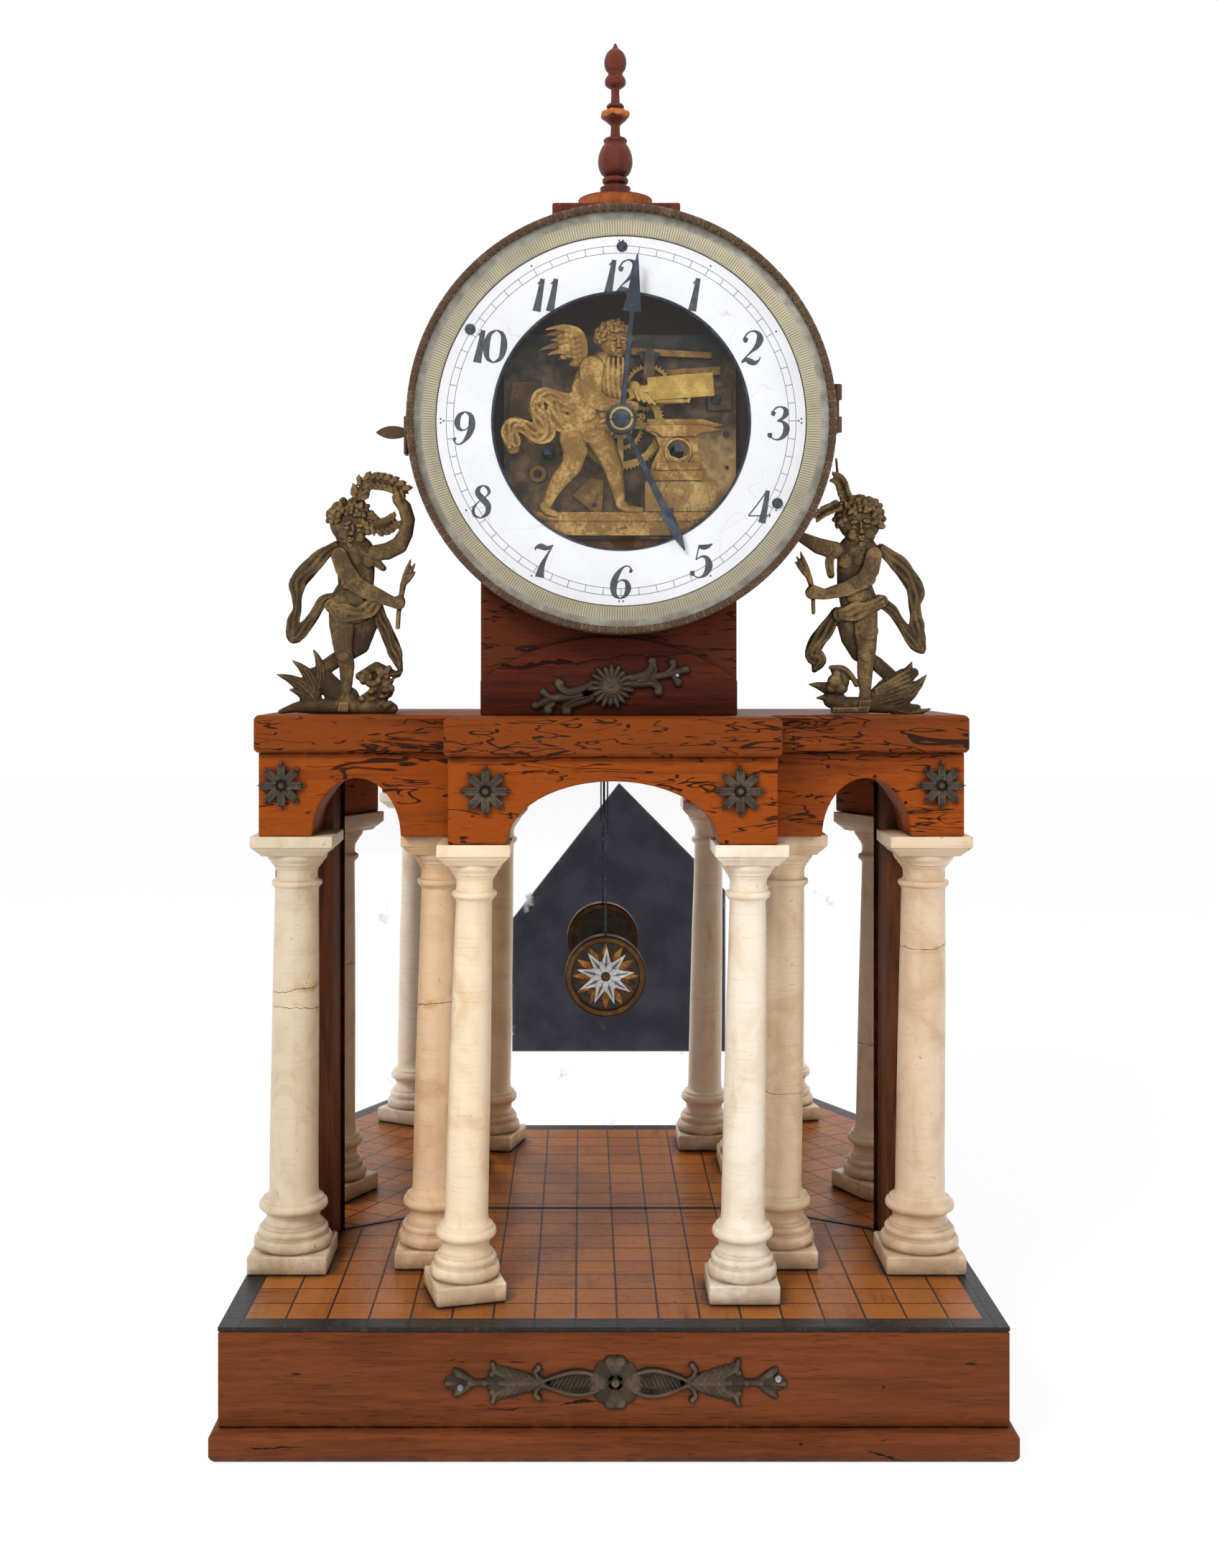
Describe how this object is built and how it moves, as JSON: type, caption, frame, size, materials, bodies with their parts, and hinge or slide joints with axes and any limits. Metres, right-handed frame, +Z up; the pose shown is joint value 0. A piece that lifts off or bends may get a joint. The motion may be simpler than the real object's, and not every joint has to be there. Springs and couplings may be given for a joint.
{
  "type": "automaton clock",
  "caption": "Portal clock with alabaster columns, mirrored niche, cast putti and a brass smith automaton working behind its open skeleton dial.",
  "frame": {"origin": "middle of the plinth's underside, on the surface it stands on", "axes": "+X to the viewer's right, +Y into the clock away from the viewer, +Z up"},
  "size_m": [0.3194, 0.183, 0.5906],
  "materials": {
    "fruitwood": "satin",
    "parquet": "satin",
    "elm": "satin",
    "mahogany": "satin",
    "dark_wood": "matt",
    "turned_wood": "satin",
    "alabaster": "polished",
    "mirror_glass": "polished",
    "clear_glass": "clear",
    "enamel": "gloss",
    "bronze": "patinated",
    "cast_brass": "patinated",
    "bezel_brass": "patinated",
    "gilt": "satin",
    "brass": "satin",
    "bright_brass": "polished",
    "steel": "blued",
    "bell_metal": "polished"
  },
  "bodies": {
    "case": {"base_moulding": "fruitwood", "base_box": "fruitwood", "floor_board": "parquet", "column_front_left": "alabaster", "column_front_right": "alabaster", "column_inner_left": "alabaster", "column_inner_right": "alabaster", "column_outer_left": "alabaster", "column_outer_right": "alabaster", "frieze_centre": "elm", "frieze_left": "elm", "frieze_right": "elm", "cornice_board": "elm", "star_outer_left": "cast_brass", "star_inner_left": "cast_brass", "star_inner_right": "cast_brass", "star_outer_right": "cast_brass", "side_wall_left": "dark_wood", "side_wall_right": "dark_wood", "back_board": "dark_wood", "mirror_centre": "mirror_glass", "mirror_left": "mirror_glass", "mirror_right": "mirror_glass", "pedestal_block": "elm", "apron_board": "mahogany", "saddle_block": "turned_wood", "finial": "turned_wood", "drum_case": "dark_wood", "dial_plate": "brass", "dial_enamel": "enamel", "hinge_leaf": "bezel_brass", "movement_front_plate": "brass", "movement_back_plate": "brass", "automaton_cupid": "brass", "automaton_ground": "brass", "bell": "bell_metal", "putto_left": "bronze", "putto_right": "bronze", "plinth_mount": "cast_brass", "sun_mount": "cast_brass"},
    "bezel": {"bezel_ring": "bezel_brass", "bezel_glass": "clear_glass", "sight_ring": "gilt", "thumb_tab": "bezel_brass"},
    "minute_hand": {"minute_hand": "steel", "cannon_wheel": "brass"},
    "hour_hand": {"hour_hand": "steel", "hour_wheel": "brass"},
    "minute_wheel": {"minute_wheel": "brass"},
    "automaton_arm": {"automaton_arm": "bright_brass"},
    "centre_wheel": {"centre_wheel": "brass"},
    "third_wheel": {"third_wheel": "brass"},
    "escape_wheel": {"escape_wheel": "brass"},
    "going_barrel": {"going_barrel": "brass"},
    "going_arbor": {"going_arbor": "steel"},
    "strike_barrel": {"strike_barrel": "brass"},
    "strike_arbor": {"strike_arbor": "steel"},
    "anchor": {"anchor": "steel"},
    "pendulum": {"pendulum": "bronze"},
    "bell_hammer": {"bell_hammer": "steel"}
  },
  "joints": [
    {"name": "bezel_hinge", "type": "hinge", "parent": "case", "child": "bezel", "pos_m": [0.0958, -0.0365, 0.423], "axis": [0, 0, 1], "range_deg": [0, 110]},
    {"name": "minute_turn", "type": "hinge", "parent": "case", "child": "minute_hand", "pos_m": [0.0038, -0.0505, 0.4165], "axis": [0, 1, 0], "continuous": true},
    {"name": "hour_turn", "type": "hinge", "parent": "case", "child": "hour_hand", "pos_m": [0.0038, -0.048, 0.4165], "axis": [0, 1, 0], "continuous": true},
    {"name": "minute_wheel_turn", "type": "hinge", "parent": "case", "child": "minute_wheel", "pos_m": [0.01585, -0.027, 0.43308], "axis": [0, 1, 0], "continuous": true},
    {"name": "automaton_strike", "type": "hinge", "parent": "case", "child": "automaton_arm", "pos_m": [0.0058, -0.0366, 0.4285], "axis": [0, 1, 0], "range_deg": [-12, 13]},
    {"name": "centre_turn", "type": "hinge", "parent": "case", "child": "centre_wheel", "pos_m": [0.0038, 0, 0.4165], "axis": [0, 1, 0], "continuous": true},
    {"name": "third_turn", "type": "hinge", "parent": "case", "child": "third_wheel", "pos_m": [-0.01039, 0, 0.42469], "axis": [0, 1, 0], "continuous": true},
    {"name": "escape_turn", "type": "hinge", "parent": "case", "child": "escape_wheel", "pos_m": [-0.002, 0, 0.43708], "axis": [0, 1, 0], "continuous": true},
    {"name": "going_barrel_turn", "type": "hinge", "parent": "case", "child": "going_barrel", "pos_m": [0.0282, -0.012, 0.4059], "axis": [0, 1, 0], "continuous": true},
    {"name": "going_wind", "type": "hinge", "parent": "case", "child": "going_arbor", "pos_m": [0.0282, -0.015, 0.4059], "axis": [0, 1, 0], "continuous": true},
    {"name": "strike_barrel_turn", "type": "hinge", "parent": "case", "child": "strike_barrel", "pos_m": [-0.0272, -0.012, 0.4052], "axis": [0, 1, 0], "continuous": true},
    {"name": "strike_wind", "type": "hinge", "parent": "case", "child": "strike_arbor", "pos_m": [-0.0272, -0.015, 0.4052], "axis": [0, 1, 0], "continuous": true},
    {"name": "pendulum_swing", "type": "hinge", "parent": "case", "child": "pendulum", "pos_m": [-0.002, 0.0086, 0.44908], "axis": [0, 1, 0], "range_deg": [-4, 4]},
    {"name": "anchor_rock", "type": "hinge", "parent": "case", "child": "anchor", "pos_m": [-0.002, 0, 0.44908], "axis": [0, 1, 0], "range_deg": [-4, 4]},
    {"name": "bell_hammer_lift", "type": "hinge", "parent": "case", "child": "bell_hammer", "pos_m": [0.0488, 0.0135, 0.4435], "axis": [0, -1, 0], "range_deg": [0, 12]}
  ],
  "couplings": [
    {"joint": "hour_turn", "follows": "minute_turn", "ratio": 0.083333},
    {"joint": "minute_wheel_turn", "follows": "minute_turn", "ratio": -1},
    {"joint": "third_turn", "follows": "centre_turn", "ratio": -11},
    {"joint": "escape_turn", "follows": "centre_turn", "ratio": 113.67},
    {"joint": "going_barrel_turn", "follows": "centre_turn", "ratio": -0.083333},
    {"joint": "anchor_rock", "follows": "pendulum_swing", "ratio": 1}
  ]
}
